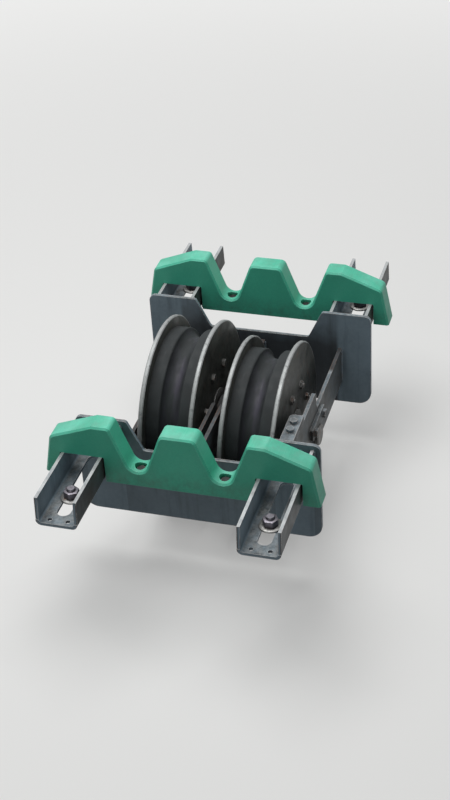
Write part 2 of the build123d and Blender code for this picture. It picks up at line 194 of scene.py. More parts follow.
class SheaveUnitColours(PropertyGroup):
    """Colours of the finishes."""

    frame_paint: colour("Frame paint", "Blue-grey paint of the plates and arms", (0.199, 0.262, 0.308))
    bare_steel: colour("Bare steel", "Steel where the paint has worn off", (0.46, 0.47, 0.47))
    rust: colour("Rust", "Rust at the edges of bare patches", (0.150, 0.062, 0.030))
    dust: colour("Dust", "Dirt on the frame and the guards", (0.175, 0.168, 0.155))
    # This dark colour is laid inside the frame between the cheeks and on the upper end of the right outer
    # cheek's top edge, which are darker there.
    grease: colour("Grease", "Rope grease thrown on the inner faces of the frame", (0.030, 0.029, 0.030))
    # Laid only where ambient occlusion finds corners, so this grime is painted shade as well.
    grime_and_shade: colour("Grime", "Old grease and dirt in the corners", (0.022, 0.019, 0.017))
    guard_green: colour("Guard green", "Green plastic of the rope guards", (0.058, 0.468, 0.308))
    # Also laid as a painted highlight along the guards' edges.
    guard_scuff_and_highlight: colour("Guard scuffs", "Pale scuffs on edges and tops of guards", (0.240, 0.690, 0.560))
    flange_dark: colour("Flange faces", "Greasy grey-black side flanges", (0.042, 0.044, 0.040))
    rim_steel: colour("Flange rims", "Worn steel of the rims", (0.295, 0.305, 0.303))
    alloy: colour("Cast alloy", "Hub and rim ring", (0.330, 0.325, 0.315))
    rubber: colour("Rubber", "Rubber of the liners", (0.019, 0.022, 0.023))
    rubber_worn: colour("Polished rubber", "Streaks that the rope has polished", (0.042, 0.039, 0.054))
    zinc: colour("Zinc", "Dull zinc of bolts, axles and washers", (0.400, 0.395, 0.380))
    dark_bolt: colour("Dark bolts", "Weathered anchor nuts and studs", (0.190, 0.176, 0.200))


class SheaveUnitStage(PropertyGroup):
    """Floor, lamps and camera."""

    floor: colour("Floor", "Colour of the floor as the camera sees it", (0.520, 0.520, 0.512))
    floor_bounce: colour("Floor bounce", "Colour of the floor as it lights the unit", (0.100, 0.100, 0.100))
    floor_glow: strength("Floor glow", "Paleness of the near floor to the camera, where 1 is white", 0.26)
    far_glow: strength("Far glow", "The same at the floor's far edge, where it meets the sky", 0.76)
    fade_start: length("Fade start", "Distance at which the floor starts to pale", 0.8)
    fade_end: length("Fade end", "Distance at which the floor is as pale as the sky", 5.0)
    floor_gap: length("Floor gap", "Distance of the floor under the lowest piece", 0.002)
    floor_size: length("Floor size", "Side of the floor", 36.0)
    sky: strength("Sky", "Strength of the even light", 0.20)
    sky_seen: strength("Sky seen", "Paleness of the sky to the camera, where 1 is white", 0.9)
    key_power: power("Key lamp", "Power of the large lamp overhead", 91.0)
    key_size: length("Key lamp size", "Side of the large lamp", 2.4)
    fill_power: power("Fill lamp", "Power of the lamp beside the camera", 7.0)
    fill_size: length("Fill lamp size", "Side of the lamp beside the camera", 2.4)
    lens: FloatProperty(
        name="Lens", description="Focal length of the camera in millimetres", default=70.0, min=10.0
    )


# Finishes


class Finish:
    """A material with a node tree, and short calls for the nodes that the finishes share."""

    def __init__(self, name, centre=(0.0, 0.0, 0.0)):
        self.material = bpy.data.materials.new(name)
        self.material.use_nodes = True
        self.tree = self.material.node_tree
        self.tree.nodes.clear()
        self.shader = self.node("ShaderNodeBsdfPrincipled")
        output = self.node("ShaderNodeOutputMaterial")
        self.tree.links.new(self.shader.outputs["BSDF"], output.inputs["Surface"])
        self.geometry = self.node("ShaderNodeNewGeometry")
        shift = self.node("ShaderNodeMapping")
        shift.inputs["Location"].default_value = -Vector(centre)
        self.put(shift.inputs["Vector"], self.node("ShaderNodeTexCoord").outputs["Object"])
        self.place = shift.outputs["Vector"]
        self.x, self.y, self.z = self.parts(self.place)

    def node(self, kind, **settings):
        made = self.tree.nodes.new(kind)
        for key, value in settings.items():
            setattr(made, key, value)
        return made

    def put(self, socket, value):
        """Links a socket, or sets a number or colour."""
        if isinstance(value, bpy.types.NodeSocket):
            self.tree.links.new(value, socket)
        elif hasattr(value, "__len__") and len(value) == 3 and socket.type == "RGBA":
            socket.default_value = (*value, 1.0)
        else:
            socket.default_value = value

    def set(self, name, value):
        self.put(self.shader.inputs[name], value)

    def parts(self, vector):
        split = self.node("ShaderNodeSeparateXYZ")
        self.put(split.inputs[0], vector)
        return split.outputs

    def joined(self, x, y, z):
        made = self.node("ShaderNodeCombineXYZ")
        for socket, value in zip(made.inputs, (x, y, z)):
            self.put(socket, value)
        return made.outputs[0]

    def calc(self, operation, *values):
        made = self.node("ShaderNodeMath", operation=operation)
        for socket, value in zip(made.inputs, values):
            self.put(socket, value)
        return made.outputs[0]

    def times(self, share, *others):
        """Product of two or more shares."""
        for other in others:
            share = self.calc("MULTIPLY", share, other)
        return share

    def far(self, value):
        """Distance from 0 either way."""
        return self.calc("ABSOLUTE", value)

    def without(self, share):
        """What a share leaves of 1."""
        return self.calc("SUBTRACT", 1.0, share)

    def band(self, value, start, end, low=0.0, high=1.0):
        """low at start, high at end, and held beyond them."""
        made = self.node("ShaderNodeMapRange", clamp=True)
        for socket, number in zip(made.inputs, (value, start, end, low, high)):
            self.put(socket, number)
        return made.outputs[0]

    def mix(self, share, first, second):
        made = self.node("ShaderNodeMix", data_type="RGBA")
        self.put(made.inputs[0], share)
        self.put(made.inputs[6], first)
        self.put(made.inputs[7], second)
        return made.outputs[2]

    def noise(self, scale, detail=3.0, rough=0.55, stretch=(1.0, 1.0, 1.0), at=None):
        mapping = self.node("ShaderNodeMapping")
        mapping.inputs["Scale"].default_value = stretch
        self.put(mapping.inputs["Vector"], self.place if at is None else at)
        made = self.node("ShaderNodeTexNoise")
        self.put(made.inputs["Vector"], mapping.outputs["Vector"])
        self.put(made.inputs["Scale"], scale)
        self.put(made.inputs["Detail"], detail)
        self.put(made.inputs["Roughness"], rough)
        return made.outputs["Fac"]

    def edges(self, radius):
        """1 on outer edges, 0 on flats, from the difference that a rounded normal makes."""
        bevel = self.node("ShaderNodeBevel", samples=4)
        self.put(bevel.inputs["Radius"], radius)
        dot = self.node("ShaderNodeVectorMath", operation="DOT_PRODUCT")
        self.put(dot.inputs[0], bevel.outputs[0])
        self.put(dot.inputs[1], self.geometry.outputs["Normal"])
        return self.band(dot.outputs["Value"], 0.985, 0.86)

    def corners(self, distance, start=0.75, end=0.30):
        """1 deep in corners, 0 in the open, from ambient occlusion: a colour laid by it is painted shade.
        """
        occlusion = self.node("ShaderNodeAmbientOcclusion", samples=6)
        self.put(occlusion.inputs["Distance"], distance)
        return self.band(occlusion.outputs["AO"], start, end)

    def facing_up(self, start=0.55, end=0.95):
        return self.band(self.parts(self.geometry.outputs["Normal"])[2], start, end)

    def radius(self, across=None, up=None):
        """Distance from the sheave's axis, or from the middle that two distances give."""
        across, up = (self.x, self.z) if across is None else (across, up)
        return self.calc("SQRT", self.calc("ADD", self.times(across, across), self.times(up, up)))

    def round_the_axis(self, turns, along):
        """A place that follows the circumference, for streaks without a seam."""
        r = self.radius()
        return self.joined(
            self.times(self.calc("DIVIDE", self.x, r), turns),
            self.times(self.y, along),
            self.times(self.calc("DIVIDE", self.z, r), turns),
        )

    def bump(self, *layers):
        """Layers are (height, distance in metres)."""
        last = None
        for height, distance in layers:
            made = self.node("ShaderNodeBump")
            self.put(made.inputs["Height"], height)
            made.inputs["Distance"].default_value = distance
            made.inputs["Strength"].default_value = 1.0
            if last is not None:
                self.put(made.inputs["Normal"], last)
            last = made.outputs[0]
        self.set("Normal", last)


def scaled(values, factor):
    return tuple(min(1.0, v * factor) for v in values)


def frame_paint(colours):
    """Blue-grey paint with dirt, dust, darker zones inside the frame, painted shade in corners and on the
    upright outer faces, and edges worn to steel.
    """
    f = Finish("worn_frame_paint")
    base = tuple(colours.frame_paint)
    tone = f.mix(f.band(f.noise(9.0, 4.0), 0.32, 0.68), scaled(base, 0.84), scaled(base, 1.14))
    tone = f.mix(f.band(f.noise(110.0, 2.0), 0.3, 0.7, 0.0, 0.22), tone, scaled(base, 1.5))
    runs = f.noise(1.0, 4.0, 0.6, stretch=(46.0, 46.0, 5.0))
    tone = f.mix(f.band(runs, 0.50, 0.74, 0.0, 0.55), tone, scaled(base, 0.42))
    up = f.facing_up()
    dust = f.times(up, f.band(f.noise(26.0, 5.0, 0.7), 0.30, 0.70, 0.25, 0.85))
    clumps = f.band(f.noise(78.0, 5.0, 0.75), 0.40, 0.60)
    tone = f.mix(dust, tone, f.mix(clumps, scaled(colours.dust, 0.30), scaled(colours.dust, 1.45)))
    # Darker inside the frame: the cross plates lower down between the cheeks, and the cheeks' inner faces
    # deep between them.
    inside_dark, deep = darker_between_cheeks(f)
    tone = f.mix(inside_dark, tone, tuple(colours.grease))
    # The upper end of the right outer cheek's top edge is darkened and keeps no worn edge.
    end = dark_cheek_end(f, up)
    tone = f.mix(end, tone, tuple(colours.grease))
    outside = f.band(f.far(f.x), PLATE_OUT - 0.001, PLATE_OUT + 0.002)
    # Painted shade: the upright outer faces of the arms and of the right outer cheek are darkened in
    # blotches of a dark dust colour.
    tone = f.mix(side_shade(f, outside, up), tone, scaled(colours.dust, 0.26))
    # Painted shade: the grime colour darkens the paint in corners found by ambient occlusion, in patches.
    grime_and_shade = f.times(f.corners(0.035), f.band(f.noise(38.0, 4.0), 0.25, 0.65, 0.35, 0.95))
    tone = f.mix(grime_and_shade, tone, tuple(colours.grime_and_shade))
    rust = f.times(f.edges(0.0045), f.band(f.noise(44.0, 5.0, 0.7), 0.46, 0.62, 0.0, 0.8))
    tone = f.mix(rust, tone, tuple(colours.rust))
    worn = worn_edges(f, deep, end, outside, up)
    tone = f.mix(worn, tone, tuple(colours.bare_steel))
    f.set("Base Color", tone)
    f.set("Metallic", f.times(worn, 0.55))
    rough = f.band(f.noise(30.0, 4.0), 0.3, 0.7, 0.40, 0.60)
    f.set("Roughness", f.calc("ADD", rough, f.times(dust, 0.28)))
    f.set("Specular IOR Level", 0.34)
    f.bump((f.noise(420.0, 2.0), 0.00012), (f.noise(48.0, 4.0), 0.0005), (f.without(worn), 0.00025))
    return f.material


def darker_between_cheeks(f):
    """Shares of the darkening inside the frame, lower down on the cross plates between the cheeks, and of
    the faces deep between the cheeks.
    """
    along = f.far(f.x)
    within = f.times(
        f.band(along, PLATE_OUT - 0.004, PLATE_IN + 0.002),
        f.band(f.far(f.y), CHEEK_IN + 0.002, CHEEK_IN - 0.006),
    )
    height = f.calc("ADD", f.z, f.band(f.noise(11.0, 4.0, 0.6), 0.3, 0.7, -0.020, 0.020))
    plates = f.times(within, f.band(height, *PLATE_DARK, 0.25, 0.85))
    deep = f.times(within, f.band(along, PLATE_IN, PLATE_IN - 0.004), f.band(f.z, *CHEEK_DARK))
    cheeks = f.times(deep, f.band(f.noise(33.0, 4.0, 0.65), 0.32, 0.62, 0.95, 0.70))
    return f.calc("MAXIMUM", plates, cheeks), deep


def dark_cheek_end(f, up):
    """Share of the darkening on the upper end of the right outer cheek's top edge."""
    return f.times(
        f.band(f.x, *CHEEK_END_DARK),
        f.band(f.x, PLATE_IN, PLATE_IN - 0.001),
        f.band(f.far(f.y), CHEEK_IN - 0.006, CHEEK_IN - 0.002),
        f.band(up, 0.2, 0.6, 0.0, 0.85),
    )


def side_shade(f, outside, up):
    """Share of the painted shade on the upright outer faces of the arms and of the right outer cheek, laid
    in blotches.
    """
    blotches = f.noise(17.0, 5.0, 0.65)
    beside = f.far(f.calc("SUBTRACT", f.far(f.y), ARM_Y))
    arms = f.times(
        outside,
        f.band(beside, ARM_HALF - 0.003, ARM_HALF - 0.002),
        f.band(blotches, 0.30, 0.62, 0.75, 1.00),
    )
    cheeks = f.times(
        f.band(f.far(f.x), PLATE_IN, PLATE_IN - 0.001),
        f.band(f.far(f.y), CHEEK_IN + 0.005, CHEEK_IN + 0.007),
        f.band(blotches, 0.30, 0.62, 0.65, 0.95),
    )
    return f.times(f.calc("MAXIMUM", arms, cheeks), f.without(up))


def worn_edges(f, deep, end, outside, up):
    """Share of bare steel: chipped edges, fewer deep between the cheeks and none at the darkened end of the
    right outer cheek's top edge, and the arms' rubbed tops.
    """
    edge = f.times(f.edges(0.0022), f.band(deep, 0.0, 1.0, 1.0, 0.15), f.without(end))
    chips = f.band(f.noise(58.0, 5.0, 0.7), 0.40, 0.52)
    worn = f.times(edge, f.calc("MAXIMUM", chips, f.band(up, 0.2, 0.9, 0.0, 0.9)))
    tops = f.times(
        outside,
        up,
        f.band(f.z, ARM_TOP - 0.004, ARM_TOP - 0.002),
        f.band(f.noise(40.0, 5.0, 0.7), 0.32, 0.55, 0.35, 0.85),
    )
    return f.calc("MAXIMUM", worn, tops)


def weld_paint(colours):
    """The same paint over the rough skin of a weld."""
    f = Finish("painted_weld")
    base = tuple(colours.frame_paint)
    tone = f.mix(f.band(f.noise(60.0, 3.0), 0.3, 0.7), scaled(base, 0.70), scaled(base, 1.12))
    rust = f.band(f.noise(75.0, 5.0, 0.7), 0.52, 0.66, 0.0, 0.75)
    tone = f.mix(rust, tone, tuple(colours.rust))
    # Painted shade: the grime colour darkens the weld in the corners beside it, found by ambient occlusion.
    grime_and_shade = f.times(f.corners(0.02), 0.7)
    f.set("Base Color", f.mix(grime_and_shade, tone, tuple(colours.grime_and_shade)))
    f.set("Roughness", f.band(f.noise(90.0), 0.3, 0.7, 0.42, 0.70))
    f.bump((f.noise(700.0, 3.0), 0.0003))
    return f.material


def guard_plastic(colours, rope_y):
    """Machined green plastic, scuffed at its edges where the pale scuffs also serve as a painted highlight,
    greasy beside the ropes and darker towards the bottom.
    """
    f = Finish("machined_green_plastic")
    base = tuple(colours.guard_green)
    tone = f.mix(f.band(f.noise(7.0, 3.0), 0.3, 0.7), scaled(base, 0.88), scaled(base, 1.10))
    tone = f.mix(f.band(f.noise(160.0, 3.0), 0.35, 0.75, 0.0, 0.16), tone, scaled(base, 0.6))
    marks = f.noise(1.0, 3.0, 0.6, stretch=(14.0, 620.0, 620.0))
    tone = f.mix(f.band(marks, 0.35, 0.75, 0.0, 0.14), tone, tuple(colours.guard_scuff_and_highlight))
    up = f.facing_up(0.35, 0.95)
    pale = f.times(up, f.band(f.noise(15.0, 4.0, 0.6), 0.44, 0.68, 0.0, 0.35))
    tone = f.mix(pale, tone, tuple(colours.guard_scuff_and_highlight))
    dust = f.times(up, f.band(f.noise(34.0, 5.0, 0.7), 0.40, 0.72, 0.0, 0.30))
    tone = f.mix(dust, tone, tuple(colours.dust))
    rope = f.radius(f.calc("SUBTRACT", f.far(f.y), rope_y), f.calc("SUBTRACT", f.z, ROPE_HEIGHT))
    drawn = f.noise(1.0, 5.0, 0.7, stretch=(12.0, 70.0, 70.0))
    smear = f.times(f.band(rope, *ROPE_SMEAR), f.band(drawn, 0.46, 0.76, 0.0, 0.28))
    tone = f.mix(smear, tone, scaled(base, 0.25))
    # The guards darken towards the bottom, in patches of a dark dust colour.
    darker_low = f.times(f.band(f.z, *GUARD_DARK_LOW), f.band(f.noise(40.0, 5.0, 0.7), 0.35, 0.7, 0.0, 0.45))
    tone = f.mix(darker_low, tone, scaled(colours.dust, 0.35))
    # Painted shade: the grime colour darkens the plastic in corners and recesses found by ambient
    # occlusion.
    grime_and_shade = f.times(f.corners(0.012), f.band(f.noise(46.0, 4.0), 0.25, 0.7, 0.10, 0.60))
    tone = f.mix(grime_and_shade, tone, tuple(colours.grime_and_shade))
    # Pale scuffs on the edges, which also serve as a painted highlight along them.
    scuff_and_highlight = f.times(f.edges(0.003), f.band(f.noise(80.0, 5.0, 0.7), 0.36, 0.62, 0.10, 0.70))
    tone = f.mix(scuff_and_highlight, tone, tuple(colours.guard_scuff_and_highlight))
    f.set("Base Color", tone)
    rough = f.band(f.noise(24.0, 4.0), 0.3, 0.7, 0.36, 0.52)
    f.set("Roughness", f.calc("ADD", rough, f.times(dust, 0.5)))
    f.set("Specular IOR Level", 0.42)
    f.bump((marks, 0.00010), (f.noise(500.0, 2.0), 0.00006), (f.noise(16.0, 3.0), 0.0006))
    return f.material


def flange_steel(colours, side):
    """Turned steel: bright worn rim, grey-black greasy faces."""
    f = Finish(f"flange_steel_{side}", CENTRES[side])
    r = f.radius()
    dark, steel = tuple(colours.flange_dark), tuple(colours.rim_steel)
    tone = f.mix(f.band(f.noise(24.0, 5.0, 0.65), 0.36, 0.66), scaled(dark, 0.55), scaled(dark, 1.9))
    rings = f.noise(1.0, 2.0, at=f.joined(f.times(r, 260.0), 0.0, 0.0))
    tone = f.mix(f.band(rings, 0.42, 0.70, 0.0, 0.45), tone, scaled(dark, 2.6))
    rust = f.band(f.noise(52.0, 5.0, 0.7), 0.56, 0.70, 0.0, 0.55)
    tone = f.mix(rust, tone, scaled(colours.rust, 0.8))
    specks = f.band(f.noise(210.0, 2.0), 0.66, 0.72)
    tone = f.mix(f.times(specks, 0.6), tone, scaled(steel, 0.6))
    # Painted shade: the grime colour darkens the flange round the bolts and in corners, found by ambient
    # occlusion.
    bolts = f.times(f.corners(0.02, 0.8, 0.4), 0.8)
    tone = f.mix(bolts, tone, tuple(colours.grime_and_shade))
    ragged = f.calc("ADD", r, f.band(f.noise(70.0, 4.0), 0.3, 0.7, -0.0010, 0.0010))
    rim = f.band(ragged, SHEAVE_R - 0.0042, SHEAVE_R - 0.0022)
    spots = f.band(f.noise(95.0, 5.0, 0.7), 0.55, 0.66, 0.0, 0.65)
    f.set("Base Color", f.mix(rim, tone, f.mix(spots, steel, scaled(steel, 0.28))))
    f.set("Metallic", f.band(rim, 0.0, 1.0, 0.25, 0.45))
    greasy = f.band(f.noise(18.0, 4.0), 0.35, 0.65, 0.34, 0.62)
    f.set("Roughness", f.times(greasy, f.band(rim, 0.0, 1.0, 1.0, 1.15)))
    f.bump((rings, 0.00012), (f.noise(300.0, 3.0), 0.00010), (f.noise(60.0, 4.0), 0.0003))
    return f.material


def liner_rubber(colours, side):
    """Rubber with streaks round the groove where the rope has polished it."""
    f = Finish(f"polished_rubber_{side}", CENTRES[side])
    base = tuple(colours.rubber)
    streaks = f.noise(1.0, 5.0, 0.65, at=f.round_the_axis(3.0, 150.0))
    wide = f.noise(1.0, 3.0, 0.5, at=f.round_the_axis(1.6, 44.0))
    groove = f.band(f.radius(), LINER_R - 0.0015, LINER_R - 0.010)
    tone = f.mix(f.band(f.noise(30.0, 4.0), 0.3, 0.7), scaled(base, 0.75), scaled(base, 1.5))
    polish = f.times(groove, f.band(wide, 0.40, 0.62))
    tone = f.mix(f.times(polish, f.band(streaks, 0.34, 0.62, 0.35, 1.0)), tone, tuple(colours.rubber_worn))
    tone = f.mix(f.band(streaks, 0.60, 0.75, 0.0, 0.5), tone, scaled(base, 3.0))
    # Painted shade: the grime colour darkens the rubber a little in corners found by ambient occlusion.
    f.set("Base Color", f.mix(f.times(f.corners(0.02), 0.3), tone, tuple(colours.grime_and_shade)))
    f.set("Specular IOR Level", 0.28)
    rough = f.band(f.noise(60.0, 3.0), 0.3, 0.7, 0.62, 0.80)
    f.set("Roughness", f.calc("SUBTRACT", rough, f.times(polish, 0.14)))
    f.bump((streaks, 0.00025), (f.noise(260.0, 3.0), 0.00012))
    return f.material


def cast_alloy(colours, side):
    """Sand-cast alloy with turned faces, dulled by grease."""
    f = Finish(f"cast_alloy_{side}", CENTRES[side])
    base = tuple(colours.alloy)
    tone = f.mix(f.band(f.noise(40.0, 5.0, 0.6), 0.3, 0.7), scaled(base, 0.62), scaled(base, 1.08))
    # Painted shade: the grime colour darkens the alloy in corners found by ambient occlusion.
    tone = f.mix(f.times(f.corners(0.03), 0.85), tone, tuple(colours.grime_and_shade))
    bright = f.times(f.edges(0.0016), f.band(f.noise(60.0, 4.0), 0.35, 0.6))
    f.set("Base Color", f.mix(bright, tone, tuple(colours.bare_steel)))
    f.set("Metallic", 0.6)
    f.set("Roughness", f.band(f.noise(36.0, 4.0), 0.3, 0.7, 0.42, 0.66))
    f.bump((f.noise(330.0, 4.0, 0.6), 0.0003), (f.noise(60.0, 3.0), 0.0004))
    return f.material


def zinc_steel(colours, name, base, rusty):
    """Dull zinc or dark steel of bolts, washers and axles, with rust in patches."""
    f = Finish(name)
    base = tuple(base)
    tone = f.mix(f.band(f.noise(120.0, 4.0), 0.3, 0.7), scaled(base, 0.66), scaled(base, 1.16))
    rust = f.band(f.noise(85.0, 5.0, 0.7), 0.62 - rusty, 0.74 - rusty, 0.0, 0.85)
    tone = f.mix(rust, tone, tuple(colours.rust))
    # Painted shade: the grime colour darkens the steel in corners found by ambient occlusion.
    tone = f.mix(f.times(f.corners(0.012), 0.8), tone, tuple(colours.grime_and_shade))
    bright = f.times(f.edges(0.0012), f.band(f.noise(140.0, 3.0), 0.36, 0.6, 0.0, 0.75))
    f.set("Base Color", f.mix(bright, tone, tuple(colours.bare_steel)))
    f.set("Metallic", f.band(rust, 0.0, 0.85, 0.80, 0.15))
    f.set("Roughness", f.band(f.noise(150.0, 3.0), 0.3, 0.7, 0.36, 0.58))
    f.bump((f.noise(650.0, 3.0), 0.00012), (rust, 0.0002))
    return f.material


# Shapes


def add_piece(name, mesh, material, body):
    """Links a mesh as a piece that rides on a body."""
    piece = bpy.data.objects.new(name, mesh)
    bpy.context.scene.collection.objects.link(piece)
    mesh.materials.clear()
    mesh.materials.append(material)
    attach(piece, body)
    return piece


def to_mesh(name, shape, smooth=40.0):
    """Turns a bmesh into a mesh with its normals outward and soft up to an angle."""
    bmesh.ops.remove_doubles(shape, verts=shape.verts, dist=1e-6)
    bmesh.ops.recalc_face_normals(shape, faces=shape.faces)
    for face in shape.faces:
        face.smooth = True
    for edge in shape.edges:
        edge.smooth = len(edge.link_faces) == 2 and edge.calc_face_angle(math.pi) < math.radians(smooth)
    mesh = bpy.data.meshes.new(name)
    shape.to_mesh(mesh)
    shape.free()
    return mesh


def turned(shape, outline, segments=28):
    """Adds an outline of (radius, height) spun round Z. A radius of 0 closes it on the axis."""
    verts = [shape.verts.new((r, 0.0, h)) for r, h in outline]
    edges = [shape.edges.new(pair) for pair in zip(verts, verts[1:])]
    bmesh.ops.spin(
        shape,
        geom=verts + edges,
        cent=(0, 0, 0),
        axis=(0, 0, 1),
        angle=math.tau,
        steps=segments,
        use_merge=True,
    )
    bmesh.ops.remove_doubles(shape, verts=shape.verts, dist=1e-7)


def hexagon(shape, flats, height, bevel):
    """Adds a hexagon prism from z 0 with its corners rounded."""
    corner = flats / 2 / math.cos(math.pi / 6)
    made = bmesh.ops.create_circle(shape, cap_ends=True, segments=6, radius=corner)
    base = made["verts"][0].link_faces[0]
    top = bmesh.ops.extrude_face_region(shape, geom=[base])
    top_verts = [g for g in top["geom"] if isinstance(g, bmesh.types.BMVert)]
    bmesh.ops.translate(shape, verts=top_verts, vec=(0, 0, height))
    verts = set(made["verts"]) | set(top_verts)
    rims = [e for e in shape.edges if e.verts[0] in verts and e.verts[1] in verts]
    bmesh.ops.bevel(
        shape,
        geom=rims,
        offset=bevel,
        offset_type="OFFSET",
        affect="EDGES",
        segments=2,
        profile=0.5,
        material=-1,
    )


def threads(radius, start, end, pitch, depth):
    """Outline of a threaded rod's side, from start up to end: a rise and a narrow crest each turn."""
    rise, crest = 0.40 * pitch, 0.15 * pitch
    turns = int((end - start) / pitch + 0.001)      # whole turns, with room for rounding
    outline = []
    for i in range(turns):
        low = start + i * pitch
        outline += [(radius - depth, low), (radius, low + rise), (radius, low + rise + crest)]
    return outline


def washer(bore, radius, height, shoulder, segments, lift=0.0):
    """A washer with its upper outer edge broken from the shoulder up, a share of its height."""
    shape = bmesh.new()
    brim = radius - 0.3 * height
    outline = [(bore, lift), (radius, lift), (radius, shoulder * height)]
    outline += [(brim, height), (bore, height), (bore, lift)]
    turned(shape, outline, segments)
    return shape


def placed(shape, matrix):
    """A bmesh moved by a matrix."""
    bmesh.ops.transform(shape, matrix=matrix, verts=shape.verts)
    return shape


def gather(name, shapes):
    """Joins several bmeshes in one mesh."""
    whole = bmesh.new()
    for shape in shapes:
        spare = bpy.data.meshes.new("spare")
        shape.to_mesh(spare)
        shape.free()
        whole.from_mesh(spare)
        bpy.data.meshes.remove(spare)
    return to_mesh(name, whole)


def bead(name, paths, radius, pitch):
    """Weld beads along paths of points: tubes whose radius ripples."""
    curve = bpy.data.curves.new(name, "CURVE")
    curve.dimensions = "3D"
    curve.bevel_depth = radius
    curve.bevel_resolution = 1
    curve.use_fill_caps = True
    for path in paths:
        points = []
        for a, b in zip(path, path[1:]):
            a, b = Vector(a), Vector(b)
            steps = max(1, round((b - a).length / pitch * 2))
            points += [a.lerp(b, i / steps) for i in range(steps)]
        points.append(Vector(path[-1]))
        spline = curve.splines.new("POLY")
        spline.points.add(len(points) - 1)
        for i, (target, at) in enumerate(zip(spline.points, points)):
            target.co = (*at, 1.0)
            waves = sum(high * math.sin(i * pace) for high, pace in BEAD_WAVES)
            target.radius = BEAD_LOW + BEAD_RIPPLE * (i % 2) + waves
        spline.points[0].radius = spline.points[-1].radius = BEAD_END
    holder = bpy.data.objects.new(name + "_curve", curve)
    bpy.context.scene.collection.objects.link(holder)
    graph = bpy.context.evaluated_depsgraph_get()
    mesh = bpy.data.meshes.new_from_object(holder.evaluated_get(graph))
    bpy.data.objects.remove(holder)
    bpy.data.curves.remove(curve)
    shape = bmesh.new()
    shape.from_mesh(mesh)
    bpy.data.meshes.remove(mesh)
    return to_mesh(name, shape, 50.0)


def dress(nodes, material):
    """Gives CAD nodes a finish."""
    for name in nodes:
        node = NODES[name]
        if not node.material_slots:
            node.data.materials.append(material)
        for slot in node.material_slots:
            slot.material = material


# Operators


class SHEAVE_UNIT_OT_paint_frame(Operator):
    """Paint the cross plates, cheeks, arms, guard bars, keepers and the lug."""

    bl_idname = "sheave_unit.paint_frame"
    bl_label = "Paint Frame"

    def execute(self, context):
        paint = frame_paint(context.scene.sheave_unit_colours)
        nodes = [f"cross_plate_{end}" for end in ENDS] + [f"guard_bar_{end}" for end in ENDS]
        nodes += [f"arm_{end}_{side}" for end in ENDS for side in SIDES]
        pairs = ("cheek_outer", "cheek_inner", "spacers", "keeper")
        nodes += [f"{part}_{side}" for part in pairs for side in SIDES]
        dress(nodes + ["lug_right"], paint)
        return {"FINISHED"}


class SHEAVE_UNIT_OT_weld_frame(Operator):
    """Lay weld beads where the arms and cheeks meet the cross plates."""

    bl_idname = "sheave_unit.weld_frame"
    bl_label = "Weld Frame"

    low_middle = 0.120      # half the width of a cross plate's low middle
    arm_gap = 0.002         # between a bead's end and an arm's top edge
    cheek_gap = 0.004       # between a bead's end and the end of its corner

    def execute(self, context):
        sizes = context.scene.sheave_unit_sizes
        paint = weld_paint(context.scene.sheave_unit_colours)
        for end, along in ENDS.items():
            x = along * PLATE_OUT
            arms = [self.round_an_arm(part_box(f"arm_{end}_{side}"), x, sizes.arm_fold) for side in SIDES]
            mesh = bead(f"weld_arms_{end}", arms, sizes.weld_radius, sizes.weld_pitch)
            add_piece(f"weld_arms_{end}", mesh, paint, "frame")
            cheeks = []
            for part in ("cheek_outer", "cheek_inner"):
                for side in SIDES:
                    cheeks += self.beside_a_cheek(f"{part}_{side}", f"cross_plate_{end}", along)
            mesh = bead(f"weld_cheeks_{end}", cheeks, sizes.weld_radius, sizes.weld_pitch)
            add_piece(f"weld_cheeks_{end}", mesh, paint, "frame")
        return {"FINISHED"}

    def round_an_arm(self, box, x, fold):
        """Down one flange, under the web and up the other, round the folded corners."""
        low, high = box
        top = high.z - self.arm_gap
        turns = [math.radians(a) for a in (22.5, 45.0, 67.5)]
        bend = [(fold * (1 - math.cos(a)), fold * (1 - math.sin(a))) for a in turns]
        path = [(x, low.y, top), (x, low.y, low.z + fold)]
        path += [(x, low.y + a, low.z + b) for a, b in bend]
        path += [(x, low.y + fold, low.z), (x, high.y - fold, low.z)]
        path += [(x, high.y - b, low.z + a) for a, b in bend]
        return path + [(x, high.y, low.z + fold), (x, high.y, top)]

    def beside_a_cheek(self, cheek, plate, along):
        """Upright beads on both faces of a cheek, up to its top or the plate's."""
        low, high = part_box(cheek)
        near = self.low_middle if abs(low.y) < self.low_middle else math.inf
        top = min(
            top_of(cheek, lambda at: at.x * along > PLATE_IN - 0.001),
            top_of(plate, lambda at: abs(at.y) < near),
        )
        x, start, end = along * PLATE_IN, low.z + self.cheek_gap, top - self.cheek_gap
        return [[(x, y, start), (x, y, end)] for y in (low.y, high.y)]


class SHEAVE_UNIT_OT_dress_guards(Operator):
    """Give the rope guards their machined green plastic."""

    bl_idname = "sheave_unit.dress_guards"
    bl_label = "Dress Guards"

    def execute(self, context):
        colours = context.scene.sheave_unit_colours
        dress([f"guard_{end}" for end in ENDS], guard_plastic(colours, CENTRES["left"].y))
        steel = zinc_steel(colours, "guard_screw_steel", scaled(colours.zinc, SCREW_PALE), SCREW_RUST)
        dress([f"guard_screws_{end}" for end in ENDS], steel)
        return {"FINISHED"}


